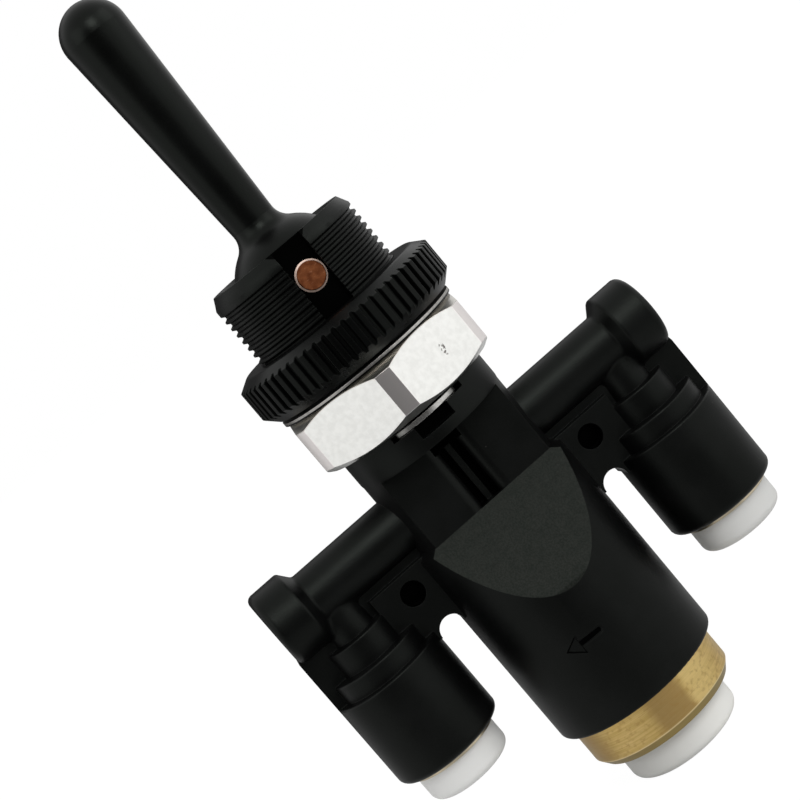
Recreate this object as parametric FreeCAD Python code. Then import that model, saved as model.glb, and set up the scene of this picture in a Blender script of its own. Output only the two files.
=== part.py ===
import FreeCAD, Part
import math
import os

from FreeCAD import Vector

os.makedirs("parts", exist_ok=True)

# A three-position toggle valve for compressed air, in millimetres. Height zero is the front
# face of the panel, under the knurled ring. The lever points up (+Z), the tube ports point
# down, the two delivery ports lie along X and the pivot pin lies along Y.

# Clearances
running_gap = 0.05
seal_gap = 0.02
contact_gap = 0.05
ball_gap = 0.2
cut_margin = 1.0

# Threaded neck, M20 x 1
thread_radius = 10.0
thread_pitch = 1.0
exposed_thread = 9.5
lead_in_height = 1.4
lead_in_width = 0.75
keyway_width = 4.1
keyway_depth = 1.25

# Knurled ring, washer and hexagon nut
ring_radius = 14.0
ring_height = 6.3
ring_top_radius = 12.3
ring_top_bevel = 1.05
ring_top_edge = 0.9
ring_foot_radius = 12.6
ring_foot_bevel = 1.4
knurl_count = 64
knurl_depth = 0.5
knurl_share = 0.52
knurl_taper = 0.5
washer_radius = 12.45
washer_hole_radius = 10.2
washer_thickness = 0.48
washer_play = 0.42
nut_across_flats = 24.0
nut_corner_radius = 13.3
nut_height = 7.4
nut_crown_radius = 11.8
nut_crown_angle = 33.0
nut_turn = -6.7
thread_bevel = 0.4

# Collar with its retaining clip
collar_radius = 10.28
collar_height = 4.07
collar_play = 0.08
collar_bevel = 0.45
keyway_stop = 1.35
collar_key_width = 4.8
slit_drop = 0.34
slit_height = 0.73
slit_width = 10.2
clip_thickness = 0.58
clip_crown = 9.88
clip_arc_radius = 7.0
clip_head_width = 8.7
clip_head_reach = 0.3
clip_leg_width = 1.0
clip_leg_gap = 1.1
clip_barb = 0.4
clip_barb_length = 0.7

# Neck and lower body
neck_radius = 10.2
neck_thickness = 10.3
neck_length = 9.9
shoulder_rise = 0.1
shoulder_height = 0.75
slope_angle = 26.0
body_radius = 11.28
body_length = 28.65
body_edge = 0.5
groove_width = 2.6
groove_depth = 2.9
groove_edge = 1.5
groove_rib = 0.8
groove_rib_height = 1.3
vent_width = 4.0
vent_drop = 0.45
vent_height = 1.4
vent_web = 2.0

# Delivery arms, stepped port barrels and webs
arm_drop = 5.65
arm_radius = 3.5
arm_overlap = 1.8
arm_bore = 1.3
cap_radius = 5.05
cap_length = 4.6
cap_step = 1.2
cap_edge = 0.9
port_spacing = 44.06
cap_reach = 7.17
plug_radius = 2.6
plug_length = 2.6
plug_recess = 0.3
throat_radius = 2.45
throat_flare = 2.85
throat_blend = 0.7
first_step_radius = 4.3
first_step_height = 3.3
second_step_radius = 6.1
second_step_height = 2.4
step_edge = 0.25
barrel_radius = 7.32
barrel_drop = 11.9
barrel_length = 11.95
barrel_edge = 0.9
port_bore = 1.5
web_thickness = 1.8
pad_thickness = 4.4
pad_gap = 0.9
pad_overlap = 0.8
slot_rise = 0.3
recess_radius = 1.55
recess_depth = 1.7
recess_place = 14.0
recess_drop = 7.0

# Lever
pivot_drop = 4.7
pin_radius = 1.9
pin_length = 18.4
pin_edge = 0.3
ball_radius = 7.65
lever_length = 40.4
tip_radius = 4.13
stem_radius = 2.88
stem_fillet = 2.4
ball_cut = 4.0
foot_radius = 1.8
foot_drop = 3.2
foot_width = 4.4

# Spools, their bores and return springs
spool_spacing = 9.0
neck_bore_bevel = 0.4
guide_thickness = 1.85
guide_pocket_depth = 0.35
spool_head_radius = 2.65
spool_head_height = 1.5
spool_head_edge = 0.3
spool_stem_radius = 1.2
spool_land_radius = 2.12
spool_land_height = 1.5
spool_seal_depth = 0.8
spool_seal_height = 0.8
spool_bore_radius = 2.2
vent_bore_radius = 3.0
vent_bore_depth = 3.25
spool_bore_length = 8.0
feed_bore_radius = 2.7
feed_bore_length = 7.5
chamber_radius = 7.4
exhaust_land_lift = 0.1
supply_land_lift = 0.4
spring_radius = 2.1
spring_wire = 0.5
spring_turns = 6

# Push-in tube ports: the two delivery ports take 6 mm tube and the supply port takes 10 mm
delivery_tube_radius = 3.0
delivery_collet_radius = 5.61
delivery_collet_reach = 3.75
delivery_sleeve_radius = 5.95
delivery_seal_section = 1.7
delivery_lip = 0.45
delivery_teeth = 8
supply_tube_radius = 5.0
supply_collet_radius = 7.68
supply_collet_reach = 4.35
supply_sleeve_radius = 8.6
supply_seal_section = 2.0
supply_teeth = 10
insert_radius = 10.0
insert_reach = 5.65
insert_length = 15.65
insert_bevel_width = 0.75
insert_bevel_height = 1.05
insert_bore = 3.9
insert_seal_depth = 1.1
insert_seal_height = 1.6
insert_seal_drop = 1.6

# Inside of a port, measured upwards from its mouth
tube_gap = 0.1
tube_socket_depth = 2.85
seal_squeeze = 0.1
seal_room = 0.1
seal_bevel_share = 0.25
collet_gap = 0.06
collet_travel = 0.8
collet_spare = 0.1
collet_wall = 1.4
collet_edge = 1.1
collet_lead_in = 0.5
collet_nose_wall = 0.6
collet_nose_height = 1.0
collet_slot_width = 0.8
collet_slots = 4
mouth_depth = 2.8
ledge_height = 0.7
ledge_gap = 0.15
barb_width = 0.35
barb_height = 0.75
barb_edge = 0.25
barb_gap = 0.15
barb_room = 2.3
grip_seat_width = 0.3
grip_thickness = 0.35
grip_rim_width = 0.95
grip_bite = 0.03
grip_rise = 0.88
grip_slot_width = 0.6
backup_height = 1.45
backup_clear = 0.25
backup_top = 0.3

# Heights that follow from the sizes above
neck_top = ring_height + exposed_thread
pivot_z = neck_top - pivot_drop
washer_top = -washer_play
nut_top = washer_top - washer_thickness
nut_bottom = nut_top - nut_height
collar_top = nut_bottom - collar_play
collar_bottom = collar_top - collar_height
slit_top = collar_top - slit_drop
slit_bottom = slit_top - slit_height
guide_top = slit_bottom + contact_gap
neck_floor = guide_top - guide_thickness
neck_end = collar_bottom - neck_length
body_bottom = neck_end - body_length
arm_z = collar_bottom - arm_drop
barrel_top = arm_z - barrel_drop
barrel_bottom = barrel_top - barrel_length
delivery_mouth = barrel_bottom - delivery_lip
insert_bottom = body_bottom - insert_reach
insert_top = insert_bottom + insert_length
spool_bore_top = neck_floor - vent_bore_depth
spool_bore_end = spool_bore_top - spool_bore_length
chamber_top = spool_bore_end - feed_bore_length
spool_top = pivot_z - foot_drop - foot_radius - contact_gap
thread_pitch_radius = thread_radius - 3 / 8 * math.sqrt(3) / 2 * thread_pitch
neck_bore_radius = ball_radius + ball_gap
port_x = port_spacing / 2
spool_x = spool_spacing / 2
cap_end = port_x + cap_reach
barrel_side = port_x + barrel_radius
big = 4 * ring_radius


def rounded(corners, place):
    """Closed wire through corners (a, b) or (a, b, radius); place turns (a, b) into a point."""
    starts = []
    ends = []
    middles = []
    count = len(corners)
    for index, corner in enumerate(corners):
        here = Vector(corner[0], corner[1], 0)
        before = Vector(corners[index - 1][0], corners[index - 1][1], 0)
        after = Vector(corners[(index + 1) % count][0], corners[(index + 1) % count][1], 0)
        radius = corner[2] if len(corner) > 2 else 0
        if not radius:
            starts.append(here)
            ends.append(here)
            middles.append(None)
            continue
        back = (before - here).normalize()
        ahead = (after - here).normalize()
        half = back.getAngle(ahead) / 2
        centre = here + (back + ahead).normalize() * (radius / math.sin(half))
        starts.append(here + back * (radius / math.tan(half)))
        ends.append(here + ahead * (radius / math.tan(half)))
        middles.append(centre + (here - centre).normalize() * radius)
    edges = []
    for index in range(count):
        if middles[index]:
            arc = [place(v.x, v.y) for v in (starts[index], middles[index], ends[index])]
            edges.append(Part.Arc(*arc).toShape())
        leave = place(ends[index].x, ends[index].y)
        reach = starts[(index + 1) % count]
        reach = place(reach.x, reach.y)
        if leave.distanceToPoint(reach) > 1e-6:
            edges.append(Part.LineSegment(leave, reach).toShape())
    return Part.Wire(edges)


def turned(corners, x=0.0, base=0.0):
    """Solid turned about a vertical axis from corners (radius, height)."""
    wire = rounded(corners, lambda radius, height: Vector(radius, 0, height))
    solid = Part.Face(wire).revolve(Vector(0, 0, 0), Vector(0, 0, 1), 360)
    solid.translate(Vector(x, 0, base))
    return solid


def turned_along_x(corners, side, z):
    """Solid turned about a line along X from corners (distance from the middle, radius)."""
    wire = rounded(corners, lambda along, radius: Vector(side * along, 0, radius))
    solid = Part.Face(wire).revolve(Vector(0, 0, 0), Vector(1, 0, 0), 360)
    solid.translate(Vector(0, 0, z))
    return solid


def plate(corners, low, high):
    """Flat plate from corners (x, y), between two heights."""
    wire = rounded(corners, lambda x, y: Vector(x, y, low))
    return Part.Face(wire).extrude(Vector(0, 0, high - low))


def upright_plate(corners, low_y, high_y):
    """Plate standing in the plane of the ports from corners (x, z)."""
    wire = rounded(corners, lambda x, z: Vector(x, low_y, z))
    return Part.Face(wire).extrude(Vector(0, high_y - low_y, 0))


def side_profile(corners, half_width):
    """Bar along X from corners (y, z)."""
    wire = rounded(corners, lambda y, z: Vector(-half_width, y, z))
    return Part.Face(wire).extrude(Vector(2 * half_width, 0, 0))


def block(x0, x1, y0, y1, z0, z1):
    """Box between two corners."""
    return Part.makeBox(x1 - x0, y1 - y0, z1 - z0, Vector(x0, y0, z0))


def rod(radius, low, high, x=0.0):
    """Upright round bar."""
    return Part.makeCylinder(radius, high - low, Vector(x, 0, low))


def cross_rod(radius, x, z, low_y, high_y):
    """Round bar along Y."""
    return Part.makeCylinder(radius, high_y - low_y, Vector(x, low_y, z), Vector(0, 1, 0))


def spun(tool, count, about=0.0):
    """Copies of a tool spread evenly round a vertical axis."""
    copies = []
    for index in range(count):
        copy = tool.copy()
        copy.rotate(Vector(about, 0, 0), Vector(0, 0, 1), 360.0 * index / count)
        copies.append(copy)
    return copies


def threaded_neck_and_barrel():
    """Outside of the neck, the collar and the lower body, all round."""
    return turned([
        (0, neck_top),
        (thread_radius - lead_in_width, neck_top),
        (thread_radius, neck_top - lead_in_height),
        (thread_radius, ring_height),
        (thread_pitch_radius, ring_height),
        (thread_pitch_radius, 0),
        (thread_radius, 0),
        (thread_radius, nut_top),
        (thread_pitch_radius, nut_top),
        (thread_pitch_radius, nut_bottom),
        (thread_radius, nut_bottom),
        (thread_radius, collar_top),
        (collar_radius, collar_top),
        (collar_radius, collar_bottom + collar_bevel),
        (neck_radius, collar_bottom),
        (neck_radius, neck_end + shoulder_rise),
        (body_radius, neck_end + shoulder_rise - shoulder_height),
        (body_radius, body_bottom, body_edge),
        (0, body_bottom),
    ])


def neck_flats():
    """Material taken off the front and back of the neck, with the slope that runs out below."""
    flat = neck_thickness / 2
    outside = body_radius + cut_margin
    run_out = (outside - flat) / math.tan(math.radians(slope_angle))
    cuts = []
    for face in (-1, 1):
        cuts.append(side_profile([
            (face * flat, collar_bottom),
            (face * flat, neck_end),
            (face * outside, neck_end - run_out),
            (face * outside, collar_bottom),
        ], outside))
    return cuts


def neck_grooves():
    """Cored groove down the middle of each flat, round at its lips, with a rib on its floor."""
    half = groove_width / 2
    flat = neck_thickness / 2
    top = collar_bottom - vent_drop
    lip = half + groove_edge
    cuts = []
    for face in (-1, 1):
        mouth = plate([
            (-lip, face * (flat + groove_edge)),
            (-lip, face * flat),
            (-half, face * flat, groove_edge),
            (-half, face * (flat - groove_depth)),
            (half, face * (flat - groove_depth)),
            (half, face * flat, groove_edge),
            (lip, face * flat),
            (lip, face * (flat + groove_edge)),
        ], neck_end, top)
        floor = flat - groove_depth
        low, high = sorted((face * floor, face * (floor + groove_rib_height)))
        rib = block(-groove_rib / 2, groove_rib / 2, low, high, neck_end, top)
        cuts.append(mouth.cut(rib))
        low, high = sorted((face * vent_web / 2, face * (flat + cut_margin)))
        cuts.append(block(-vent_width / 2, vent_width / 2, low, high, top - vent_height, top))
    return cuts


def delivery_arm(side):
    """Outside of one arm: cross tube, end cap, throat, steps, barrel, rib and web."""
    cap_start = cap_end - cap_length
    root = neck_radius - arm_overlap
    tube = turned_along_x([
        (root, 0),
        (root, arm_radius),
        (cap_start - cap_step, arm_radius, cap_step / 2),
        (cap_start, cap_radius, cap_step / 2),
        (cap_end, cap_radius, cap_edge),
        (cap_end, 0),
    ], side, arm_z)
    second_top = barrel_top + second_step_height
    first_top = second_top + first_step_height
    barrel = turned([
        (0, arm_z),
        (throat_radius, arm_z),
        (throat_flare, first_top),
        (first_step_radius, first_top, step_edge),
        (first_step_radius, second_top),
        (second_step_radius, second_top, step_edge),
        (second_step_radius, barrel_top),
        (barrel_radius, barrel_top, step_edge),
        (barrel_radius, barrel_bottom, barrel_edge),
        (0, barrel_bottom),
    ], side * port_x)
    half = web_thickness / 2
    half_pad = pad_thickness / 2
    slot_left = body_radius
    slot_right = port_x - barrel_radius
    slot_radius = (slot_right - slot_left) / 2
    web_low = barrel_top + slot_rise - slot_radius
    pad_end = port_x - first_step_radius + pad_overlap
    web = upright_plate([
        (side * root, arm_z),
        (side * port_x, arm_z),
        (side * port_x, web_low),
        (side * root, web_low),
    ], -half, half)
    pad = upright_plate([
        (side * root, arm_z - arm_radius - pad_gap),
        (side * pad_end, arm_z - arm_radius - pad_gap),
        (side * pad_end, web_low),
        (side * root, web_low),
    ], -half_pad, half_pad)
    rib = upright_plate([
        (side * port_x, arm_z),
        (side * (cap_end - cap_edge), arm_z),
        (side * barrel_side, arm_z - cap_radius),
        (side * barrel_side, barrel_top - step_edge),
        (side * port_x, barrel_top - step_edge),
    ], -half, half)
    slot = cross_rod(slot_radius, side * (slot_left + slot_right) / 2, web_low, -big, big)
    outside = tube.fuse(barrel)
    seam = [edge for edge in outside.Edges if on_throat_seam(edge, side * port_x)]
    outside = outside.makeFillet(throat_blend, seam)
    return outside.fuse([web.fuse(pad).cut(slot), rib])


def on_throat_seam(edge, x):
    """Whether an edge runs where the throat at x comes out of the cross tube and its cap."""
    box = edge.BoundBox
    highest = arm_z - math.sqrt(arm_radius ** 2 - throat_flare ** 2)
    lowest = arm_z - cap_radius - cut_margin
    within_throat = x - throat_flare < box.XMin and box.XMax < x + throat_flare
    return within_throat and lowest < box.ZMin and box.ZMax < highest


def arm_recesses(side):
    """Shallow round recess in both faces of the pad."""
    half = pad_thickness / 2
    z = arm_z - recess_drop
    return [
        cross_rod(recess_radius, side * recess_place, z, -half - cut_margin, -half + recess_depth),
        cross_rod(recess_radius, side * recess_place, z, half - recess_depth, half + cut_margin),
    ]


def delivery_passage(side):
    """Air way from one spool bore out to its port, with the seats for the plug and the port."""
    x = side * port_x
    plug_seat = cap_end - plug_recess - plug_length
    cross = turned_along_x([
        (spool_x, 0), (spool_x, arm_bore), (plug_seat, arm_bore), (plug_seat, plug_radius),
        (cap_end + cut_margin, plug_radius), (cap_end + cut_margin, 0),
    ], side, arm_z)
    socket = port_socket(delivery_tube_radius, delivery_seal_section, delivery_sleeve_radius,
                         delivery_lip)
    socket.translate(Vector(x, 0, delivery_mouth))
    stop = delivery_mouth + socket_top(delivery_seal_section)
    return [cross, socket, rod(port_bore, stop - cut_margin, arm_z, x)]


def socket_top(section):
    """Height of a port's tube stop above its mouth."""
    return sleeve_height() + section + seal_room + tube_socket_depth


def sleeve_height():
    """Height of a port's sleeve above its mouth."""
    return mouth_depth + ledge_height + barb_room + grip_thickness + backup_height


def port_socket(tube, section, sleeve, lip):
    """Stepped hole that takes the sleeve, the tube seal and the end of the tube."""
    seal_top = sleeve_height() + section + seal_room
    seat = tube - seal_squeeze + section
    return turned([
        (0, lip - cut_margin), (sleeve, lip - cut_margin),
        (sleeve, sleeve_height()), (seat, sleeve_height()),
        (seat, seal_top), (tube + tube_gap, seal_top),
        (tube + tube_gap, socket_top(section)), (0, socket_top(section)),
    ])


def spool_passages():
    """Bores for the spools and the chamber that feeds them from the supply port."""
    cuts = []
    for side in (-1, 1):
        cuts.append(turned([
            (0, neck_floor + cut_margin), (vent_bore_radius, neck_floor + cut_margin),
            (vent_bore_radius, spool_bore_top), (spool_bore_radius, spool_bore_top),
            (spool_bore_radius, spool_bore_end), (feed_bore_radius, spool_bore_end),
            (feed_bore_radius, chamber_top - cut_margin), (0, chamber_top - cut_margin),
        ], side * spool_x))
    cuts.append(turned([
        (0, chamber_top), (chamber_radius, chamber_top), (chamber_radius, insert_top),
        (insert_radius, insert_top), (insert_radius, body_bottom - cut_margin),
        (0, body_bottom - cut_margin),
    ]))
    return cuts


def valve_body():
    """One black moulding: threaded neck, collar, flat neck, arms, port barrels and lower body."""
    solid = threaded_neck_and_barrel().cut(neck_flats() + neck_grooves())
    solid = solid.fuse([delivery_arm(-1), delivery_arm(1)])
    cuts = spool_passages()
    cuts.append(turned([
        (0, neck_floor), (neck_bore_radius, neck_floor),
        (neck_bore_radius, neck_top - neck_bore_bevel),
        (neck_bore_radius + neck_bore_bevel, neck_top),
        (neck_bore_radius + neck_bore_bevel, neck_top + cut_margin), (0, neck_top + cut_margin),
    ]))
    key_floor = thread_radius - keyway_depth
    key_low = collar_bottom + keyway_stop
    for width, key_top in ((keyway_width, neck_top + cut_margin), (collar_key_width, collar_top)):
        cuts.append(block(-width / 2, width / 2, -big, -key_floor, key_low, key_top))
        cuts.append(block(-width / 2, width / 2, key_floor, big, key_low, key_top))
    cuts.append(cross_rod(pin_radius, 0, pivot_z, -big, big))
    inside = neck_bore_radius - cut_margin
    cuts.append(block(-slit_width / 2, slit_width / 2, -big, -inside, slit_bottom, slit_top))
    back = clip_half_width() + running_gap
    cuts.append(block(-back, back, inside, big, slit_bottom, slit_top))
    for side in (-1, 1):
        cuts += delivery_passage(side) + arm_recesses(side)
    return solid.cut(cuts).removeSplitter()


def clip_half_width():
    """Half the width across the legs of the retaining clip."""
    return clip_leg_gap / 2 + clip_leg_width


def retaining_clip():
    """Flat fork pushed in from the front: arched head, two legs, barbs behind the wall."""
    half_head = clip_head_width / 2
    arch = clip_arc_radius - math.sqrt(clip_arc_radius ** 2 - half_head ** 2)
    shoulder = clip_crown - arch
    head_back = neck_bore_radius - clip_head_reach
    wall = thread_radius - keyway_depth + contact_gap
    end = wall + clip_barb_length
    inner = clip_leg_gap / 2
    outer = clip_half_width()
    low = guide_top
    high = guide_top + clip_thickness
    left = Vector(-half_head, -shoulder, low)
    right = Vector(half_head, -shoulder, low)
    back_right = Vector(half_head, -head_back + clip_barb, low)
    back_left = Vector(-half_head, -head_back + clip_barb, low)
    edges = [
        Part.Arc(left, Vector(0, -clip_crown, low), right).toShape(),
        Part.LineSegment(right, back_right).toShape(),
        Part.LineSegment(back_right, back_left).toShape(),
        Part.LineSegment(back_left, left).toShape(),
    ]
    head = Part.Face(Part.Wire(edges)).extrude(Vector(0, 0, high - low))
    legs = []
    for side in (-1, 1):
        legs.append(plate([
            (side * inner, -head_back), (side * outer, -head_back), (side * outer, wall),
            (side * (outer + clip_barb), wall), (side * outer, end), (side * inner, end),
        ], low, high))
    return head.fuse(legs).removeSplitter()


def guide_plate():
    """Disc on the floor of the neck that guides both spools and carries their springs."""
    disc = turned([
        (0, neck_floor), (neck_bore_radius - running_gap, neck_floor),
        (neck_bore_radius - running_gap, guide_top), (0, guide_top),
    ])
    cuts = []
    for side in (-1, 1):
        hole = spool_stem_radius + running_gap
        pocket = spring_radius + spring_wire / 2 + running_gap
        above = guide_top + cut_margin
        cuts.append(rod(hole, neck_floor - cut_margin, above, side * spool_x))
        cuts.append(rod(pocket, guide_top - guide_pocket_depth, above, side * spool_x))
    return disc.cut(cuts)


def spool_levels():
    """Heights of the middle of the exhaust land and of the supply land, with the lever upright."""
    exhaust = spool_bore_top + exhaust_land_lift + spool_land_height / 2
    supply = spool_bore_end + supply_land_lift + spool_land_height / 2
    return exhaust, supply


def spool(side):
    """Stepped spool: pressed head, stem and two lands with seal grooves."""
    exhaust, supply = spool_levels()
    half = spool_land_height / 2
    groove = spool_seal_height / 2
    floor = spool_land_radius - spool_seal_depth
    head = spool_top - spool_head_height
    corners = [(0, spool_top), (spool_head_radius, spool_top, spool_head_edge),
               (spool_head_radius, head), (spool_stem_radius, head)]
    for level in (exhaust, supply):
        corners += [(spool_stem_radius, level + half), (spool_land_radius, level + half),
                    (spool_land_radius, level + groove), (floor, level + groove),
                    (floor, level - groove), (spool_land_radius, level - groove),
                    (spool_land_radius, level - half)]
        if level == exhaust:
            corners.append((spool_stem_radius, level - half))
    corners.append((0, supply - half))
    return turned(corners, side * spool_x)


def spool_seals(side):
    """The two rubber rings in the grooves of one spool."""
    outer = spool_bore_radius - seal_gap
    inner = spool_land_radius - spool_seal_depth
    half = spool_seal_height / 2
    rings = []
    for level in spool_levels():
        rings.append(turned([
            (inner, level - half), (outer, level - half), (outer, level + half), (inner, level + half),
        ], side * spool_x))
    return Part.makeCompound(rings)


def return_spring(side):
    """Compression spring of square wire between the guide plate and the head of a spool."""
    low = guide_top - guide_pocket_depth + spring_wire / 2
    high = spool_top - spool_head_height - contact_gap - spring_wire / 2
    helix = Part.makeHelix((high - low) / spring_turns, high - low, spring_radius)
    half = spring_wire / 2
    corners = []
    for a, b in ((-1, -1), (1, -1), (1, 1), (-1, 1)):
        corners.append(Vector(spring_radius + a * half, 0, b * half))
    section = Part.makePolygon(corners + corners[:1])
    coil = Part.Wire(helix.Edges).makePipeShell([section], True, True)
    coil.translate(Vector(side * spool_x, 0, low))
    return coil


def toggle_lever():
    """Lever with a bat handle, a ball that turns on the pin and two feet that press the spools."""
    tip_z = pivot_z + lever_length
    shoulder_z = tip_z - tip_radius
    fillet_x = stem_radius + stem_fillet
    fillet_z = pivot_z + math.sqrt((ball_radius + stem_fillet) ** 2 - fillet_x ** 2)
    share = ball_radius / (ball_radius + stem_fillet)
    touch = Vector(fillet_x * share, 0, pivot_z + (fillet_z - pivot_z) * share)
    stem_end = Vector(stem_radius, 0, fillet_z)
    fillet_centre = Vector(fillet_x, 0, fillet_z)
    waist = fillet_centre + ((stem_end + touch) * 0.5 - fillet_centre).normalize() * stem_fillet
    cut_z = pivot_z - ball_cut
    cut_x = math.sqrt(ball_radius ** 2 - ball_cut ** 2)
    tip = Vector(0, 0, tip_z)
    tip_side = Vector(tip_radius, 0, shoulder_z)
    tip_middle = Vector(tip_radius * math.sqrt(0.5), 0, shoulder_z + tip_radius * math.sqrt(0.5))
    edges = [
        Part.Arc(tip, tip_middle, tip_side).toShape(),
        Part.LineSegment(tip_side, stem_end).toShape(),
        Part.Arc(stem_end, waist, touch).toShape(),
        Part.Arc(touch, Vector(ball_radius, 0, pivot_z), Vector(cut_x, 0, cut_z)).toShape(),
        Part.LineSegment(Vector(cut_x, 0, cut_z), Vector(0, 0, cut_z)).toShape(),
        Part.LineSegment(Vector(0, 0, cut_z), tip).toShape(),
    ]
    solid = Part.Face(Part.Wire(edges)).revolve(Vector(0, 0, 0), Vector(0, 0, 1), 360)
    feet = []
    for side in (-1, 1):
        feet.append(cross_rod(foot_radius, side * spool_x, pivot_z - foot_drop,
                              -foot_width / 2, foot_width / 2))
    solid = solid.fuse(feet)
    return solid.cut(cross_rod(pin_radius + running_gap, 0, pivot_z, -big, big)).removeSplitter()


def pivot_pin():
    """Plain pin across the neck, bevelled at both ends."""
    half = pin_length / 2
    pin = turned([
        (0, -half), (pin_radius - pin_edge, -half), (pin_radius, pin_edge - half),
        (pin_radius, half - pin_edge), (pin_radius - pin_edge, half), (0, half),
    ])
    pin.rotate(Vector(0, 0, 0), Vector(1, 0, 0), 90)
    pin.translate(Vector(0, 0, pivot_z))
    return pin


def thread_hole(low, high):
    """Round hole through a nut or ring, bevelled at both mouths."""
    wide = thread_pitch_radius + thread_bevel
    return turned([
        (0, low - cut_margin), (wide, low - cut_margin),
        (wide, low), (thread_pitch_radius, low + thread_bevel),
        (thread_pitch_radius, high - thread_bevel), (wide, high),
        (wide, high + cut_margin), (0, high + cut_margin),
    ])


def knurled_ring():
    """Finger ring with straight grooves between two bevels."""
    solid = turned([
        (0, 0), (ring_foot_radius, 0), (ring_radius, ring_foot_bevel),
        (ring_radius, ring_height - ring_top_bevel),
        (ring_top_radius, ring_height, ring_top_edge), (0, ring_height),
    ])
    pitch = 2 * math.pi * ring_radius / knurl_count
    half = pitch * knurl_share / 2
    floor = half * (1 - knurl_taper)
    mouth = half * (1 + knurl_taper)
    groove = plate([
        (ring_radius - knurl_depth, -floor), (ring_radius + knurl_depth, -mouth),
        (ring_radius + knurl_depth, mouth), (ring_radius - knurl_depth, floor),
    ], -cut_margin, ring_height + cut_margin)
    return solid.cut(spun(groove, knurl_count) + [thread_hole(0, ring_height)])


def panel_washer():
    """Flat washer between the panel and the nut."""
    return turned([
        (washer_hole_radius, nut_top), (washer_radius, nut_top),
        (washer_radius, washer_top), (washer_hole_radius, washer_top),
    ])


def hex_nut():
    """Thin hexagon nut with both faces crowned and its corners turned off."""
    corner = nut_across_flats / math.sqrt(3)
    corners = []
    for index in range(6):
        angle = math.radians(60 * index - 90 + nut_turn)
        corners.append((corner * math.cos(angle), corner * math.sin(angle)))
    prism = plate(corners, nut_bottom, nut_top)
    crown = (nut_corner_radius - nut_crown_radius) * math.tan(math.radians(nut_crown_angle))
    blank = turned([
        (0, nut_bottom), (nut_crown_radius, nut_bottom), (nut_corner_radius, nut_bottom + crown),
        (nut_corner_radius, nut_top - crown), (nut_crown_radius, nut_top), (0, nut_top),
    ])
    return prism.common(blank).cut(thread_hole(nut_bottom, nut_top))


def end_plug(side):
    """Plug pressed into the end of an arm, where the cross passage was cored."""
    start = cap_end - plug_recess - plug_length
    end = cap_end - plug_recess
    return turned_along_x([
        (start, 0), (start, plug_radius - pin_edge), (start + pin_edge, plug_radius),
        (end - pin_edge, plug_radius), (end, plug_radius - pin_edge), (end, 0),
    ], side, arm_z)


def supply_insert():
    """Brass bush pressed into the lower body, which carries the supply port."""
    corners = [
        (insert_bore, insert_top), (insert_radius, insert_top),
        (insert_radius, insert_top - insert_seal_drop),
        (insert_radius - insert_seal_depth, insert_top - insert_seal_drop),
        (insert_radius - insert_seal_depth, insert_top - insert_seal_drop - insert_seal_height),
        (insert_radius, insert_top - insert_seal_drop - insert_seal_height),
        (insert_radius, insert_bottom + insert_bevel_height),
        (insert_radius - insert_bevel_width, insert_bottom),
        (insert_bore, insert_bottom),
    ]
    socket = port_socket(supply_tube_radius, supply_seal_section, supply_sleeve_radius, 0)
    socket.translate(Vector(0, 0, insert_bottom))
    return turned(corners).cut(socket)


def insert_seal():
    """Rubber ring between the brass bush and the body."""
    high = insert_top - insert_seal_drop
    low = high - insert_seal_height
    return turned([
        (insert_radius - insert_seal_depth, low), (insert_radius, low),
        (insert_radius, high), (insert_radius - insert_seal_depth, high),
    ])


def port_sleeve(tube, collet, sleeve):
    """Metal sleeve at a port's mouth: guides the collet, holds it back and seats the grip ring."""
    stem = tube + tube_gap + collet_wall
    ledge = stem + ledge_gap
    room = ledge + barb_width + barb_gap
    ledge_low = mouth_depth
    ledge_top = ledge_low + ledge_height
    seat = ledge_top + barb_room
    return turned([
        (collet + collet_gap, 0), (sleeve, 0), (sleeve, sleeve_height()),
        (room + grip_seat_width, sleeve_height()), (room + grip_seat_width, seat), (room, seat),
        (room, ledge_top), (ledge, ledge_top), (ledge, ledge_low), (collet + collet_gap, ledge_low),
    ])


def port_collet(tube, radius, reach):
    """Release collet: broad push face, slotted stem and barbs above the sleeve's ledge."""
    bore = tube + tube_gap
    stem = bore + collet_wall
    barb = stem + ledge_gap + barb_width
    shoulder = mouth_depth - collet_travel - collet_spare
    barb_low = mouth_depth + ledge_height + contact_gap
    barb_top = barb_low + barb_height
    nose = barb_top + collet_nose_height
    solid = turned([
        (bore + collet_lead_in, -reach), (radius, -reach, collet_edge), (radius, shoulder),
        (stem, shoulder), (stem, barb_low), (barb, barb_low), (barb, barb_low + barb_edge),
        (bore + collet_nose_wall, nose), (bore, nose), (bore, collet_lead_in - reach),
    ])
    half = collet_slot_width / 2
    slot = block(0, barb + cut_margin, -half, half, shoulder + collet_spare, nose + cut_margin)
    return solid.cut(spun(slot, collet_slots))


def grip_ring(tube, teeth):
    """Toothed spring-steel ring that bites the tube."""
    bore = tube + tube_gap
    seat = bore + collet_wall + ledge_gap + barb_width + barb_gap + grip_seat_width
    low = mouth_depth + ledge_height + barb_room
    high = low + grip_thickness
    inner = seat - grip_rim_width
    tip = tube - grip_bite
    solid = turned([
        (seat, low), (seat, high), (inner, high), (tip, high + grip_rise),
        (tip, low + grip_rise), (inner, low),
    ])
    half = grip_slot_width / 2
    slot = block(0, inner, -half, half, low - cut_margin, high + grip_rise + cut_margin)
    return solid.cut(spun(slot, teeth))


def backup_ring(tube):
    """Plastic ring that holds the grip ring down and the seal up, hollowed for the teeth."""
    bore = tube + tube_gap + running_gap
    seat = tube + tube_gap + collet_wall + ledge_gap + barb_width + barb_gap + grip_seat_width
    low = mouth_depth + ledge_height + barb_room + grip_thickness
    high = low + backup_height
    return turned([
        (seat, low), (seat, high), (bore, high), (bore, high - backup_top),
        (seat - grip_rim_width + backup_clear, low),
    ])


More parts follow.
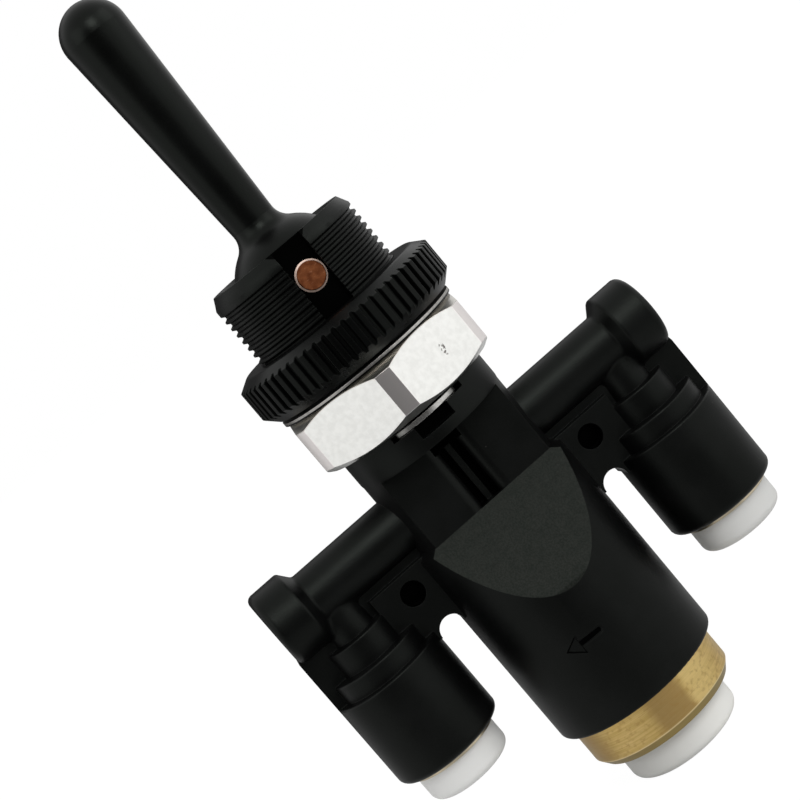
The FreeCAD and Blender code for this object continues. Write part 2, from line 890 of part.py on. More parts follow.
def tube_seal(tube, section):
    """Rubber ring above the backup ring, bevelled at its corners."""
    inner = tube - seal_squeeze
    outer = inner + section
    low = sleeve_height()
    high = low + section
    bevel = section * seal_bevel_share
    return turned([
        (inner + bevel, low), (outer, low), (outer, high), (inner + bevel, high),
        (inner, high - bevel), (inner, low + bevel),
    ])


def port_parts(name, x, mouth, tube, collet, reach, sleeve, section, teeth):
    """The five pieces of one push-in port, at their place."""
    pieces = {
        name + "_sleeve": port_sleeve(tube, collet, sleeve),
        name + "_collet": port_collet(tube, collet, reach),
        name + "_grip_ring": grip_ring(tube, teeth),
        name + "_backup_ring": backup_ring(tube),
        name + "_tube_seal": tube_seal(tube, section),
    }
    for piece in pieces.values():
        piece.translate(Vector(x, 0, mouth))
    return pieces


parts = {
    "valve_body": valve_body(),
    "toggle_lever": toggle_lever(),
    "pivot_pin": pivot_pin(),
    "knurled_ring": knurled_ring(),
    "panel_washer": panel_washer(),
    "hex_nut": hex_nut(),
    "retaining_clip": retaining_clip(),
    "guide_plate": guide_plate(),
    "supply_insert": supply_insert(),
    "supply_insert_seal": insert_seal(),
}
parts.update(port_parts("supply", 0, insert_bottom, supply_tube_radius, supply_collet_radius,
                        supply_collet_reach, supply_sleeve_radius, supply_seal_section, supply_teeth))
for side, name in ((-1, "left"), (1, "right")):
    parts[name + "_spool"] = spool(side)
    parts[name + "_spool_seals"] = spool_seals(side)
    parts[name + "_return_spring"] = return_spring(side)
    parts[name + "_end_plug"] = end_plug(side)
    parts.update(port_parts(name, side * port_x, delivery_mouth, delivery_tube_radius,
                            delivery_collet_radius, delivery_collet_reach, delivery_sleeve_radius,
                            delivery_seal_section, delivery_teeth))

for node, shape in parts.items():
    shape.exportStep("parts/" + node + ".step")
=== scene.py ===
import math

import bmesh
import bpy
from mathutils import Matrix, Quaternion, Vector


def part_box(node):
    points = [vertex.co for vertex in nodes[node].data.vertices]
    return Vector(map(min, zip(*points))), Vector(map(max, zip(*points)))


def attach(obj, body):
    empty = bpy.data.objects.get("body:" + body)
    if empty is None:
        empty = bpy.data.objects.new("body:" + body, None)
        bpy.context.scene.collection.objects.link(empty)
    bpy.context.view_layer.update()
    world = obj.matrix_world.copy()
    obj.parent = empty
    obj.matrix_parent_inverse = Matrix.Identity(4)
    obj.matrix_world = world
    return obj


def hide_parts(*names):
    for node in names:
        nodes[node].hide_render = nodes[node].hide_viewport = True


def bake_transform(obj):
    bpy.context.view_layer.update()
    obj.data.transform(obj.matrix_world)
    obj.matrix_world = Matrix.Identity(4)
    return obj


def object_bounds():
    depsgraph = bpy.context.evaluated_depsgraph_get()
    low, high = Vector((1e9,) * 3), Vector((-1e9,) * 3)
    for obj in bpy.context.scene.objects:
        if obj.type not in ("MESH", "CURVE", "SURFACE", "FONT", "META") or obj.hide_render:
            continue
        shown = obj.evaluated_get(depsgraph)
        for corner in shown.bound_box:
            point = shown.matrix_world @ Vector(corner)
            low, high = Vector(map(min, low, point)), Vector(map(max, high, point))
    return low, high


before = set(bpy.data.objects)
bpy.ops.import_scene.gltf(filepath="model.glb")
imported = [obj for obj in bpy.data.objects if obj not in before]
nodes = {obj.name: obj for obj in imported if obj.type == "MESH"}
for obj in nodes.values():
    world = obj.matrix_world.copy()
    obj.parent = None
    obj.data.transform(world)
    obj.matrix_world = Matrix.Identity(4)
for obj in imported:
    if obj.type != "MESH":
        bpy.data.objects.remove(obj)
cad_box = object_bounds()
mm = 0.001

# Valve body. One black nylon moulding: threaded neck with a keyway, collar, flat neck, two arms
# with stepped barrels, and the round lower body with a grained slope. The screw thread is cut by
# the mould, and stops short of the ring, which is screwed on from above.
thread_radius = 10.0 * mm
thread_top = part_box("valve_body")[1].z - 1.4 * mm
thread_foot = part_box("knurled_ring")[1].z - 0.6 * mm
thread_pitch = 1.0 * mm
thread_depth = 0.42 * mm
thread_floor = 0.27 * mm
thread_flank = math.radians(30)
thread_steps = 96
thread_fade = 20
fade_overcut = 1.1
cut_margin = 0.1 * mm
slope_angle = math.radians(26)
smooth_angle = math.radians(28)
slope_margin = 0.01
merge_distance = 1e-7
bevel_samples = 6
nylon_tint = (0.90, 1.0, 0.90, 1.0)
body_radius = 11.28 * mm
arrow_height = -40.7 * mm
arrow_depth = 0.22 * mm
arrow_wall = 0.16 * mm
arrow_stand = 0.3 * mm
arrow_middle = -3.4 * mm
half_arrow = 2.8 * mm
arrow_head = 1.5 * mm
arrow_neck = -3.8 * mm
arrow_bend = 0.5 * mm
arrow_bends = 11
arrow_margin = 0.04 * mm
keyway_margin = 0.5 * mm
half_keyway = 2.5 * mm
half_groove = 2.1 * mm
half_rib = 0.41 * mm
neck_flat = 5.15 * mm
flat_margin = 0.01 * mm
groove_lip = 4.2 * mm
hole_place = 14.0 * mm
hole_height = -25.1 * mm
hole_radius = 1.57 * mm
half_pad = 2.15 * mm
collar_foot = -12.4 * mm
neck_foot = -22.4 * mm


class Value:
    """An output of a shader node. Arithmetic on it adds Math nodes to the same finish."""

    def __init__(self, finish, socket):
        self.finish = finish
        self.socket = socket

    def math(self, operation, *numbers):
        """A Math node on this value and the numbers."""
        inputs = {index: number for index, number in enumerate((self,) + numbers)}
        return self.finish.node("ShaderNodeMath", {"operation": operation}, inputs)

    def __add__(self, other):
        return self.math("ADD", other)

    __radd__ = __add__

    def __mul__(self, other):
        return self.math("MULTIPLY", other)

    def __sub__(self, other):
        return self.math("SUBTRACT", other)

    def __rsub__(self, other):
        return (self * -1.0) + other

    def __lt__(self, other):
        return self.math("LESS_THAN", other)

    def ramp(self, low, high, start=0.0, end=1.0):
        """This value taken smoothly from the span low..high to start..end, and held outside it."""
        inputs = {"Value": self, "From Min": low, "From Max": high, "To Min": start, "To Max": end}
        return self.finish.node("ShaderNodeMapRange", {"interpolation_type": "SMOOTHSTEP"}, inputs)

    def band(self, start, full, fade, end):
        """1 where this value lies from full to fade, down to 0 before start and after end."""
        return self.ramp(start, full) * self.ramp(end, fade)


class Finish:
    """A material made of nodes, read in the object's own coordinates."""

    def __init__(self, name):
        self.material = bpy.data.materials.new(name)
        self.material.use_nodes = True
        self.tree = self.material.node_tree
        self.tree.nodes.clear()

    def node(self, kind, settings, inputs, output=0):
        """A node with its settings, then its inputs; gives back one of its outputs."""
        made = self.tree.nodes.new(kind)
        for name, setting in settings.items():
            setattr(made, name, setting)
        for name, given in inputs.items():
            if isinstance(given, Value):
                self.tree.links.new(given.socket, made.inputs[name])
            else:
                made.inputs[name].default_value = given
        return Value(self, made.outputs[output]) if made.outputs else None

    def place(self, stretch=(1.0, 1.0, 1.0), turn=(0.0, 0.0, 0.0), centre=(0.0, 0.0, 0.0)):
        """Object coordinates in millimetres, centred on a point, turned and stretched."""
        spot = self.node("ShaderNodeTexCoord", {}, {}, "Object")
        spot = self.node("ShaderNodeVectorMath", {"operation": "SUBTRACT"}, {0: spot, 1: centre})
        scale = tuple(1.0 / (mm * share) for share in stretch)
        return self.node("ShaderNodeMapping", {"vector_type": "POINT"},
                         {"Vector": spot, "Rotation": turn, "Scale": scale})

    def along(self, axis, **placing):
        """The place along one axis in millimetres: 0 for X, 1 for Y, 2 for Z."""
        return self.node("ShaderNodeSeparateXYZ", {}, {"Vector": self.place(**placing)}, axis)

    def reach(self, axes=(1.0, 1.0, 1.0), **placing):
        """The distance from a point in millimetres, measured only along the axes given as 1."""
        spot = self.node("ShaderNodeVectorMath", {"operation": "MULTIPLY"}, {
            0: self.place(**placing), 1: axes})
        return self.node("ShaderNodeVectorMath", {"operation": "LENGTH"}, {0: spot}, "Value")

    def noise(self, size, detail, **placing):
        """Cloudy noise from 0 to 1, with lumps of about that many millimetres."""
        return self.node("ShaderNodeTexNoise", {}, {
            "Vector": self.place(**placing), "Scale": 1.0 / size, "Detail": detail}, "Fac")

    def mix(self, share, low, high):
        """A colour between two."""
        return self.node("ShaderNodeMix", {"data_type": "RGBA"}, {
            "Factor": share, 6: low, 7: high}, 2)

    def specks(self, spacing, size, share):
        """Small dots: 1 on a dot, in that share of the cells of a cellular pattern."""
        spot = self.place()
        cells = {"Vector": spot, "Scale": 1.0 / spacing}
        distance = self.node("ShaderNodeTexVoronoi", {}, cells, "Distance")
        tint = self.node("ShaderNodeTexVoronoi", {}, cells, "Color")
        pick = self.node("ShaderNodeSeparateColor", {}, {"Color": tint}, 0)
        return distance.ramp(size / spacing, 0.5 * size / spacing) * (pick < share)

    def surface(self, colour, roughness, bump, depth, edge=0.0, **constants):
        """The shader: colour, roughness, a relief in millimetres and edges shaded as round."""
        inputs = {"Base Color": colour, "Roughness": roughness}
        inputs.update({name.replace("_", " "): value for name, value in constants.items()})
        relief = {"Height": bump, "Distance": depth * mm, "Strength": 1.0}
        if edge:
            relief["Normal"] = self.node("ShaderNodeBevel", {"samples": bevel_samples},
                                         {"Radius": edge * mm})
        inputs["Normal"] = self.node("ShaderNodeBump", {}, relief)
        shader = self.node("ShaderNodeBsdfPrincipled", {}, inputs)
        self.node("ShaderNodeOutputMaterial", {}, {"Surface": shader})
        return self.material


def black_nylon(name, shade, roughness, grain, dust, shine=0.13):
    """Black moulded nylon: nearly black, finely grained, with dust in a share of its cells."""
    finish = Finish(name)
    cloud = finish.noise(6.0, 3.0)
    fine = finish.noise(0.18, 2.0)
    dots = finish.specks(1.6, 0.05, dust)
    dark = (shade, shade, 1.05 * shade, 1.0)
    pale = (2.2 * shade, 2.2 * shade, 2.3 * shade, 1.0)
    lint = (0.25, 0.24, 0.22, 1.0)
    colour = finish.mix(cloud.ramp(0.35, 0.75), dark, pale)
    colour = finish.mix(dots * 0.6, colour, lint)
    dull = roughness + (cloud - 0.5) * 0.12 + fine * 0.08
    return finish.surface(colour, dull, fine, grain, 0.12, Specular_IOR_Level=shine,
                          Specular_Tint=nylon_tint)


body_nylon = black_nylon("body_nylon", shade=0.0014, roughness=0.36, grain=0.012, dust=0.06)
# Near black, hardly shiny nylon: painted shade in the keyway, the groove, the web holes and the
# arrow.
recess_shade_nylon = black_nylon("recess_shade_nylon", shade=0.0002, roughness=0.3, grain=0.0, dust=0.0,
                           shine=0.02)


def grained_slope():
    """The eroded face of the slope: paler and duller, with scuffs and dust."""
    finish = Finish("grained_slope")
    cloud = finish.noise(1.3, 5.0)
    fine = finish.noise(0.22, 3.0)
    share = fine.ramp(0.35, 0.65) * 0.6 + cloud.ramp(0.35, 0.65) * 0.4
    dark = (0.003, 0.004, 0.003, 1.0)
    scuffed = (0.015, 0.016, 0.014, 1.0)
    lint = (0.16, 0.16, 0.15, 1.0)
    dots = finish.specks(0.9, 0.05, 0.08)
    colour = finish.mix(dots * 0.4, finish.mix(share, dark, scuffed), lint)
    dull = 0.62 + (cloud - 0.5) * 0.2
    return finish.surface(colour, dull, fine, 0.02, Specular_IOR_Level=0.16,
                          Specular_Tint=nylon_tint)


def shade_smooth(shape):
    """Faces shaded smooth, with every edge sharper than the limit left sharp."""
    for face in shape.faces:
        face.smooth = True
    for edge in shape.edges:
        edge.smooth = len(edge.link_faces) == 2 and edge.calc_face_angle(math.pi) < smooth_angle


def thread_cutter():
    """The helical groove of the thread as a closed bar, fading out under the top of the neck."""
    shape = bmesh.new()
    outside = thread_radius + cut_margin
    root = thread_radius - thread_depth
    half_floor = thread_floor / 2
    half_mouth = half_floor + (outside - thread_radius + thread_depth) * math.tan(thread_flank)
    corners = [(outside, -half_mouth), (root, -half_floor), (root, half_floor),
               (outside, half_mouth)]
    ring = [shape.verts.new((radius, 0.0, thread_foot + height)) for radius, height in corners]
    ring.append(shape.faces.new(ring))
    turn = 2 * math.pi / thread_steps
    rise = thread_pitch / thread_steps
    steps = round((thread_top - thread_foot - thread_pitch / 2) / rise)
    axis = {"cent": (0, 0, 0), "axis": (0, 0, 1), "use_duplicate": False}
    made = bmesh.ops.spin(shape, geom=ring, dvec=(0, 0, rise), angle=turn * steps, steps=steps,
                          **axis)
    for step in range(thread_fade):
        last = made["geom_last"]
        made = bmesh.ops.spin(shape, geom=last, dvec=(0, 0, rise), angle=turn, steps=1, **axis)
        corners = [item for item in made["geom_last"] if isinstance(item, bmesh.types.BMVert)]
        outward = Vector((corners[0].co.x, corners[0].co.y, 0)).normalized()
        lift = outward * fade_overcut * thread_depth / thread_fade
        bmesh.ops.translate(shape, verts=corners, vec=lift)
    bmesh.ops.recalc_face_normals(shape, faces=shape.faces)
    return shape


def piece(name, shape, body, slot, *materials):
    """A finished mesh as an object that moves with a body, or with none yet."""
    mesh = bpy.data.meshes.new(name)
    shape.to_mesh(mesh)
    shape.free()
    made = bpy.data.objects.new(name, mesh)
    bpy.context.scene.collection.objects.link(made)
    for material in materials:
        mesh.materials.append(material)
    if body:
        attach(made, body)
    return made


def merged(node):
    """A copy of a node's mesh with its loose triangles joined."""
    shape = bmesh.new()
    shape.from_mesh(nodes[node].data)
    bmesh.ops.remove_doubles(shape, verts=shape.verts, dist=merge_distance)
    return shape


def carved(shape, cutter):
    """A closed shape less a closed cutter."""
    objects = []
    for name, given in (("blank", shape), ("cutter", cutter)):
        mesh = bpy.data.meshes.new(name)
        given.to_mesh(mesh)
        given.free()
        made = bpy.data.objects.new(name, mesh)
        bpy.context.scene.collection.objects.link(made)
        objects.append(made)
    blank, tool = objects
    cut = blank.modifiers.new("cut", "BOOLEAN")
    cut.operation = "DIFFERENCE"
    cut.solver = "MANIFOLD"
    cut.object = tool
    bpy.context.view_layer.update()
    result = bmesh.new()
    result.from_object(blank, bpy.context.evaluated_depsgraph_get())
    for made in objects:
        bpy.data.objects.remove(made)
    return result


def arrow_cutter():
    """The flow arrow sunk into the front of the lower body, with sloped walls, bent round it."""
    outline = [(-5.95, 0.1), (-3.85, 1.25), (-3.8, 0.45), (-1.0, 0.42), (-0.75, 0.0),
               (-1.0, -0.42), (-3.8, -0.45), (-3.8, -1.4)]
    shape = bmesh.new()
    shape.faces.new([shape.verts.new((across * mm, 0.0, arrow_height + up * mm))
                     for across, up in outline])
    made = bmesh.ops.extrude_face_region(shape, geom=shape.faces[:])
    corners = [item for item in made["geom"] if isinstance(item, bmesh.types.BMVert)]
    bmesh.ops.translate(shape, verts=corners, vec=(0, -arrow_stand, 0))
    bmesh.ops.recalc_face_normals(shape, faces=shape.faces)
    floor = [face for face in shape.faces if face.normal.y > 0.5]
    bmesh.ops.inset_region(shape, faces=floor, thickness=arrow_wall, use_even_offset=True)
    corners = {corner for face in floor for corner in face.verts}
    bmesh.ops.translate(shape, verts=list(corners), vec=(0, arrow_depth, 0))
    for bend in range(-arrow_bends, 0):
        geometry = shape.verts[:] + shape.edges[:] + shape.faces[:]
        bmesh.ops.bisect_plane(shape, geom=geometry, plane_co=(bend * arrow_bend, 0, 0),
                               plane_no=(1, 0, 0))
    for corner in shape.verts:
        radius = body_radius - corner.co.y
        angle = corner.co.x / body_radius
        corner.co = (radius * math.sin(angle), -radius * math.cos(angle), corner.co.z)
    bmesh.ops.recalc_face_normals(shape, faces=shape.faces)
    return shape


def in_recess(spot):
    """Whether a face lies in the keyway, a neck groove, a hole of the webs or the arrow."""
    depth = math.hypot(spot.x, spot.y)
    if abs(spot.x) < half_keyway and spot.z > collar_foot:
        return depth < thread_radius - keyway_margin
    if abs(spot.x) < half_groove and spot.z > neck_foot:
        return abs(spot.y) < groove_lip
    if math.hypot(abs(spot.x) - hole_place, spot.z - hole_height) < hole_radius:
        return abs(spot.y) < half_pad
    near = abs(spot.z - arrow_height) <= arrow_head and abs(spot.x - arrow_middle) <= half_arrow
    sunk = body_radius - 1.5 * arrow_depth < depth < body_radius - arrow_margin
    if spot.y > 0 or not near or not sunk:
        return False
    on_floor = depth < body_radius - 0.8 * arrow_depth
    return on_floor if spot.x > arrow_neck else not on_floor


def on_rib(spot):
    """Whether a face belongs to the thin rib that stands in the groove of the neck."""
    return abs(spot.x) < half_rib and neck_foot < spot.z < collar_foot


body_shape = carved(merged("valve_body"), thread_cutter())
body_shape = carved(body_shape, arrow_cutter())
shade_smooth(body_shape)
# Faces of the slope take the grained finish; faces in the recesses take the painted shade.
for face in body_shape.faces:
    centre = face.calc_center_median()
    tilted = (abs(face.normal.z - math.sin(slope_angle)) < slope_margin
              and abs(abs(face.normal.y) - math.cos(slope_angle)) < slope_margin)
    if tilted and abs(centre.x) < body_radius:
        face.material_index = 1
    elif in_recess(centre) and not on_rib(centre):
        face.material_index = 2
    if neck_foot < centre.z < collar_foot and abs(abs(centre.y) - neck_flat) < flat_margin:
        for edge in face.edges:
            edge.smooth = False
moulding = piece("moulded_body", body_shape, "housing", "body_plastic", body_nylon,
                 grained_slope(), recess_shade_nylon)
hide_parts("valve_body")
even = moulding.modifiers.new("even", "WEIGHTED_NORMAL")
even.keep_sharp = True

# Plugs that close the ends of the two arms, where the passages were cored. They are moulded in
# the same nylon as the body and pressed in.
for side in ("left", "right"):
    nodes[side + "_end_plug"].data.materials[0] = body_nylon


# Spools, turned from brass rod, with their rubber rings, the stainless springs that lift them and
# the acetal disc that guides their stems. They drop into the neck from above.
def plain_metal(name, colour, roughness, size, contrast, stretch=(1.0, 1.0, 1.0)):
    """Bright metal with a fine pattern in its colour, its roughness and its relief."""
    finish = Finish(name)
    pattern = finish.noise(size, 3.0, stretch=stretch)
    low = tuple(share * (1.0 - contrast) for share in colour) + (1.0,)
    high = tuple(min(1.0, share * (1.0 + contrast)) for share in colour) + (1.0,)
    shade = finish.mix(pattern.ramp(0.3, 0.7), low, high)
    dull = roughness + (pattern - 0.5) * 0.1
    return finish.surface(shade, dull, pattern, 0.002, 0.08, Metallic=1.0)


spool_brass = plain_metal("spool_brass", (0.70, 0.54, 0.28), roughness=0.22, size=0.3,
                          contrast=0.12, stretch=(8.0, 8.0, 1.0))
spring_steel = plain_metal("spring_steel", (0.62, 0.62, 0.61), roughness=0.25, size=0.4,
                           contrast=0.1)
seal_rubber = black_nylon("seal_rubber", shade=0.012, roughness=0.5, grain=0.004, dust=0.0)


def acetal(name, low, high, roughness, half_width=None):
    """Milky moulded acetal: cloudy between two tones, or along X from painted shade to painted
    light.
    """
    finish = Finish(name)
    fine = finish.noise(0.25, 2.0)
    if half_width:
        share = finish.along(0).ramp(-half_width, half_width)
    else:
        share = finish.noise(2.5, 2.0)
    return finish.surface(finish.mix(share, low, high), roughness + fine * 0.08, fine, 0.004, 0.1)


guide_acetal = acetal("guide_acetal", (0.589, 0.5795, 0.5415, 1.0), (0.62, 0.61, 0.57, 1.0),
                      roughness=0.4)
nodes["guide_plate"].data.materials[0] = guide_acetal
for side in ("left", "right"):
    nodes[side + "_spool"].data.materials[0] = spool_brass
    nodes[side + "_spool_seals"].data.materials[0] = seal_rubber
    coil_shape = merged(side + "_return_spring")
    shade_smooth(coil_shape)
    coil = piece(side + "_coil", coil_shape, None, "spring_wire", spring_steel)
    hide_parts(side + "_return_spring")
    coil_low, coil_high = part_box(side + "_return_spring")
    centre = (coil_low + coil_high) / 2
    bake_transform(coil)

# Retaining clip, stamped from spring steel and pushed into the slit of the collar from the
# front. It holds the guide disc down on the floor of the neck.
clip_shade_from = 7.0
clip_shade_to = 17.0


def clip_steel():
    """Bright stamped edge, with painted shade toward both ends, which lie in the slit, by the
    square of the way out.
    """
    finish = Finish("clip_steel")
    side = finish.along(0)
    cloud = finish.noise(0.35, 3.0)
    bright = finish.mix(cloud.ramp(0.3, 0.7), (0.46, 0.45, 0.43, 1.0), (0.60, 0.59, 0.57, 1.0))
    # Painted shade on both ends, where they lie back in the slit.
    ends = (side * side).ramp(clip_shade_from, clip_shade_to)
    colour = finish.mix(ends, bright, (0.16, 0.16, 0.15, 1.0))
    return finish.surface(colour, 0.26, cloud, 0.002, 0.08, Metallic=1.0)


nodes["retaining_clip"].data.materials[0] = clip_steel()

# Toggle lever, moulded in black nylon with a satin face, and the copper coloured pin that it
# turns on, pushed through the neck and flush with the floor of the keyway.
nodes["toggle_lever"].data.materials[0] = black_nylon(
    "lever_nylon", shade=0.0008, roughness=0.28, grain=0.008, dust=0.02)
pin_low, pin_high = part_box("pivot_pin")
pin_radius = (pin_high.x - pin_low.x) / 2 / mm
pin_height = (pin_high.z + pin_low.z) / 2
bevel_foot = pin_radius - 0.24
bevel_full = pin_radius - 0.17


def pin_copper():
    """Sawn face with marks across it, brown in the middle, and a bright bevel round it."""
    finish = Finish("pin_copper")
    radius = finish.reach((1.0, 0.0, 1.0), centre=(0.0, 0.0, pin_height))
    rim = radius.ramp(bevel_foot, bevel_full)
    cloud = finish.noise(0.9, 3.0)
    marks = finish.noise(0.22, 3.0, stretch=(3.0, 1.0, 1.0), turn=(0.0, 0.8, 0.0))
    face = finish.mix(cloud.ramp(0.3, 0.75), (0.13, 0.034, 0.010, 1.0), (0.26, 0.085, 0.03, 1.0))
    face = finish.mix(marks.ramp(0.6, 0.75) * 0.35, face, (0.60, 0.28, 0.15, 1.0))
    colour = finish.mix(rim, face, (1.0, 0.76, 0.64, 1.0))
    return finish.surface(colour, 0.45 - rim * 0.15, marks, 0.006, Metallic=0.85 - rim * 0.55)


nodes["pivot_pin"].data.materials[0] = pin_copper()

# Knurled ring, which the fingers tighten. It is moulded in a glossier black nylon and screwed on
# above the panel.
nodes["knurled_ring"].data.materials[0] = black_nylon(
    "ring_nylon", shade=0.0008, roughness=0.25, grain=0.006, dust=0.06, shine=0.115)

# Flat washer, punched from steel and zinc plated, and the thin hexagon nut, which is nickel
# plated: bright mottled flats, plain where the lathe took off its corners, and greyer on its
# crown, which is painted shade under the washer.
washer_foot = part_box("panel_washer")[0].z
washer_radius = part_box("panel_washer")[1].x / mm
gap_shade_height = 0.22
around_z = (1.0, 1.0, 0.0)


def washer_zinc():
    """Grey zinc plate, its lower edge painted black as the shade of the gap over the nut."""
    finish = Finish("washer_zinc")
    height = finish.along(2, centre=(0.0, 0.0, washer_foot))
    radius = finish.reach(around_z)
    cloud = finish.noise(0.5, 3.0)
    # Painted shade: the lower edge of the washer, in the gap over the nut, goes black.
    low = height.ramp(gap_shade_height, gap_shade_height - 0.06)
    painted_gap_shade = low * radius.ramp(washer_radius - 0.06, washer_radius - 0.04)
    plate = finish.mix(cloud.ramp(0.3, 0.7), (0.34, 0.33, 0.31, 1.0), (0.46, 0.45, 0.43, 1.0))
    colour = finish.mix(painted_gap_shade, plate, (0.004, 0.004, 0.004, 1.0))
    return finish.surface(colour, 0.34, cloud, 0.004, 0.06, Metallic=1.0)


nodes["panel_washer"].data.materials[0] = washer_zinc()
nut_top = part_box("hex_nut")[1].z / mm
crown_radius = 11.8
crown_fall = math.tan(math.radians(33))
corner_start = 13.27
corner_full = 13.29
nick_place = (5.9 * mm, -10.5 * mm, -4.7 * mm)
nick_size = (0.45, 0.45, 0.95)


def nut_nickel():
    """Bright mottled plating, paler on the turned corners, painted shade on the crown, with one
    nick.
    """
    finish = Finish("nut_nickel")
    radius = finish.reach(around_z)
    mottle = finish.noise(0.7, 4.0)
    bright = finish.mix(mottle.ramp(0.3, 0.7), (0.80, 0.80, 0.77, 1.0), (0.88, 0.88, 0.85, 1.0))
    nick = finish.reach(centre=nick_place, stretch=nick_size).ramp(1.0, 0.7)
    nick = nick * finish.noise(0.3, 3.0).ramp(0.48, 0.56)
    bright = finish.mix(nick, bright, (0.16, 0.15, 0.14, 1.0))
    corner = radius.ramp(corner_start, corner_full)
    colour = finish.mix(corner, bright, (0.98, 0.93, 0.91, 1.0))
    # Painted shade: the crown, under the washer's overhang, is greyer.
    crown = (radius - crown_radius) * crown_fall + finish.along(2) - nut_top
    colour = finish.mix(crown.ramp(-0.1, -0.05), colour, (0.62, 0.60, 0.56, 1.0))
    return finish.surface(colour, 0.28, mottle, 0.01, 0.1, Metallic=1.0)


nodes["hex_nut"].data.materials[0] = nut_nickel()

# Supply bush, turned from brass, with the ring of rubber that seals it. It is pressed into the
# lower body and carries the supply port.
bush_foot = (0.0, 0.0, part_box("supply_insert")[0].z)
bush_bevel = 1.05


def turned_brass():
    """Turned brass: fine rings round the axis, bands of tarnish and painted shade, a painted
    highlight band, a painted glint on the edge.
    """
    finish = Finish("turned_brass")
    rings = finish.noise(0.16, 3.0, stretch=(60.0, 60.0, 1.0))
    cloud = finish.noise(3.0, 3.0)
    colour = finish.mix(rings.ramp(0.3, 0.7), (0.54, 0.37, 0.12, 1.0), (0.68, 0.49, 0.19, 1.0))
    colour = finish.mix(cloud.ramp(0.4, 0.8) * 0.4, colour, (0.74, 0.56, 0.26, 1.0))
    across = finish.along(0) + cloud
    # Tarnish together with painted shade: darker across the front and at the far left.
    tarnish_and_shade = across.band(-3.4, -1.4, 2.0, 3.2) + across.ramp(-6.8, -9.0)
    colour = finish.mix(tarnish_and_shade * 0.7, colour, (0.33, 0.21, 0.08, 1.0))
    # A painted highlight: a bright reflection band to the right of the front.
    painted_highlight = across.band(2.5, 3.5, 5.6, 8.6)
    colour = finish.mix(painted_highlight * 0.5, colour, (0.84, 0.65, 0.28, 1.0))
    stains = finish.noise(0.55, 5.0, stretch=(1.3, 1.3, 1.0))
    colour = finish.mix(stains.ramp(0.50, 0.68) * 0.45, colour, (0.40, 0.24, 0.08, 1.0))
    height = finish.along(2, centre=bush_foot) - bush_bevel
    # Painted shade on the lower bevel, and a thin painted highlight along its upper edge.
    colour = finish.mix(height.ramp(0.0, -0.1), colour, (0.32, 0.24, 0.09, 1.0))
    edge = height.band(-0.14, -0.04, 0.04, 0.14)
    colour = finish.mix(edge * 0.7, colour, (0.86, 0.70, 0.40, 1.0))
    return finish.surface(colour, 0.30 + rings * 0.12, rings, 0.004, 0.1, Metallic=1.0)


nodes["supply_insert"].data.materials[0] = turned_brass()
nodes["supply_insert_seal"].data.materials[0] = seal_rubber

# The three push-in ports, all built alike: a drawn brass sleeve, a toothed steel ring, an acetal
# ring behind it, a rubber seal, and the acetal release collet, which slides in the sleeve. The
# collets are one plastic, painted here in the tones that the light of the photograph gives each.
sleeve_brass = plain_metal("sleeve_brass", (0.60, 0.52, 0.38), roughness=0.35, size=0.25,
                           contrast=0.12, stretch=(6.0, 6.0, 1.0))
collet_half = 9.0
# Painted shade: the supply collet is grey at its left, white at its right; the right collet is
# darker.
collet_lit_tones = {
    "supply": ((0.54, 0.54, 0.52, 1.0), (0.90, 0.90, 0.87, 1.0)),
    "left": ((0.82, 0.82, 0.80, 1.0), (0.84, 0.84, 0.82, 1.0)),
    "right": ((0.70, 0.70, 0.68, 1.0), (0.70, 0.70, 0.68, 1.0)),
}
for port, (at_left, at_right) in collet_lit_tones.items():
    nodes[port + "_sleeve"].data.materials[0] = sleeve_brass
    nodes[port + "_grip_ring"].data.materials[0] = spring_steel
    nodes[port + "_backup_ring"].data.materials[0] = guide_acetal
    nodes[port + "_tube_seal"].data.materials[0] = seal_rubber
    nodes[port + "_collet"].data.materials[0] = acetal(
        port + "_acetal", at_left, at_right, roughness=0.42, half_width=collet_half)

# The studio: the valve stands on its supply collet on a pale floor in a white tent. The tent is
# dim at its open end, toward the camera, and at the back. Soft lamps hang at the left, at the
# right and in front.
back = (-0.208, 0.978, 0.0)
back_edge = 0.76
back_core = 0.88
floor_half = 0.9
floor_front = -0.08
floor_glow = 1.09
white = (1.0, 1.0, 1.0, 1.0)
floor_share = 0.88
floor_shape = bmesh.new()
bmesh.ops.create_grid(floor_shape, x_segments=1, y_segments=1, size=floor_half)
bmesh.ops.translate(floor_shape, verts=floor_shape.verts,
                    vec=(0, floor_front + floor_half, cad_box[0][2]))
floor_mesh = bpy.data.meshes.new("floor")
floor_shape.to_mesh(floor_mesh)
floor_shape.free()
floor = bpy.data.objects.new("floor", floor_mesh)
bpy.context.scene.collection.objects.link(floor)


def facing(finish, direction, axis):
    """The cosine of the angle between a direction and an axis."""
    return finish.node("ShaderNodeVectorMath", {"operation": "DOT_PRODUCT"}, {
        0: direction, 1: axis}, "Value")


paper = Finish("floor_paper")
rays = paper.node("ShaderNodeLightPath", {}, {}, "Is Camera Ray")
spread = paper.node("ShaderNodeVectorMath", {"operation": "NORMALIZE"}, {0: paper.place()})
# For all rays but the camera's, the paper is painted dark toward the left back: painted shade
# there.
dim = facing(paper, spread, back).ramp(back_edge, back_core) * (1.0 - rays)
tone = paper.mix(dim, (0.8, 0.8, 0.8, 1.0), (0.14, 0.14, 0.14, 1.0))
soft = paper.node("ShaderNodeBsdfDiffuse", {}, {"Color": tone})
bright = paper.node("ShaderNodeEmission", {}, {"Color": white, "Strength": floor_glow})
glow = paper.node("ShaderNodeMixShader", {}, {0: rays * floor_share, 1: soft, 2: bright})
paper.node("ShaderNodeOutputMaterial", {}, {"Surface": glow})
floor_mesh.materials.append(paper.material)

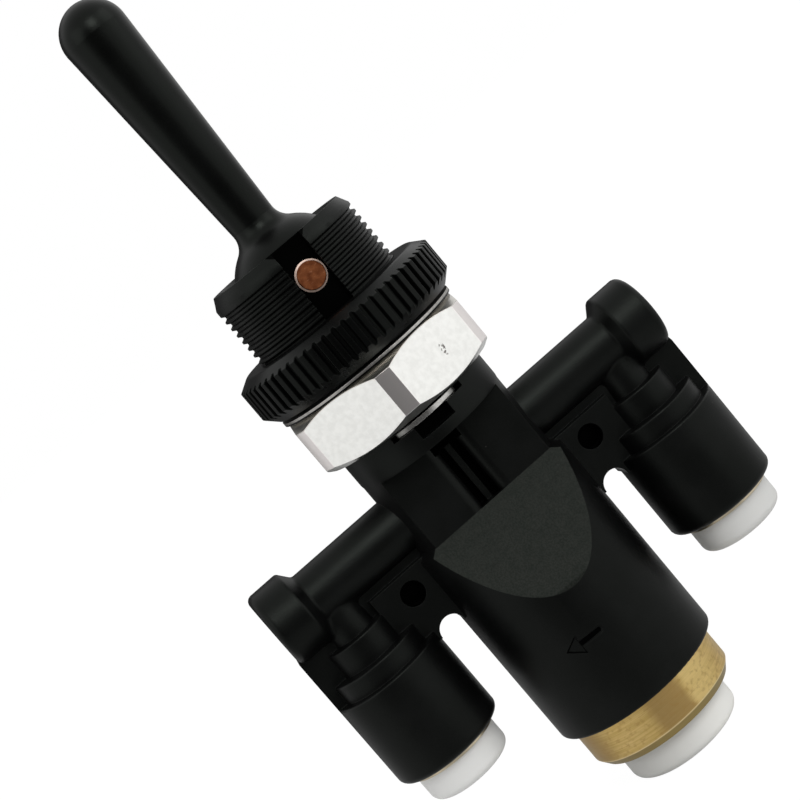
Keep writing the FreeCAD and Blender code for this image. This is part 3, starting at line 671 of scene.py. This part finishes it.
world = bpy.data.worlds.new("tent")
bpy.context.scene.world = world
world.use_nodes = True
open_end = (-0.265, -0.942, -0.208)
open_edge = 0.743
open_core = 0.866
fill_share = 0.6
tent = Finish("tent")
tent.tree = world.node_tree
tent.tree.nodes.clear()
toward = tent.node("ShaderNodeTexCoord", {}, {}, "Generated")
seen = tent.node("ShaderNodeLightPath", {}, {}, "Is Camera Ray")
glossy = tent.node("ShaderNodeLightPath", {}, {}, "Is Glossy Ray")
clear = tent.node("ShaderNodeLightPath", {}, {}, "Is Transmission Ray")
around = facing(tent, toward, open_end).ramp(open_edge, open_core, 1.0, 0.1)
around = around * facing(tent, toward, back).ramp(back_edge, back_core, 1.0, 0.08)
strength = seen + glossy * around + clear
strength = strength + (1.0 - seen - glossy - clear) * around * fill_share
sky = tent.node("ShaderNodeBackground", {}, {"Color": white, "Strength": strength})
tent.node("ShaderNodeOutputWorld", {}, {"Surface": sky})


def lamp(name, place, aim, size, power):
    """Soft square lamp that looks at a point."""
    light = bpy.data.lights.new(name, "AREA")
    light.shape = "SQUARE"
    light.size = size
    light.energy = power
    made = bpy.data.objects.new(name, light)
    made.location = place
    made.rotation_mode = "QUATERNION"
    made.rotation_quaternion = (Vector(place) - Vector(aim)).to_track_quat("Z", "Y")
    bpy.context.scene.collection.objects.link(made)


middle = (0.0, 0.0, -0.005)
lamp("left_lamp", (-0.55, -0.35, 0.35), middle, size=0.5, power=0.74)
lamp("right_lamp", (0.60, -0.30, 0.30), middle, size=0.5, power=1.05)
lamp("front_lamp", (0.11, -0.62, 0.42), middle, size=0.32, power=1.7)

# The camera: a long lens on a full-frame sensor, a little above the valve's middle and to its
# left, and leaned by 40 degrees, which lays the valve across the picture.
eye = Vector((-31.406, -241.982, 24.268)) * mm
forward = Vector((0.126607, 0.983652, -0.128061))
lean = math.radians(40.115)
lens = 94.5
sensor = 36.0
camera = bpy.data.objects.new("camera", bpy.data.cameras.new("camera"))
camera.data.lens = lens
camera.data.sensor_width = sensor
camera.location = eye
camera.rotation_mode = "QUATERNION"
camera.rotation_quaternion = (-forward).to_track_quat("Z", "Y") @ Quaternion((0, 0, 1), -lean)
bpy.context.scene.collection.objects.link(camera)
bpy.context.scene.camera = camera
bpy.context.scene.view_settings.view_transform = "Standard"
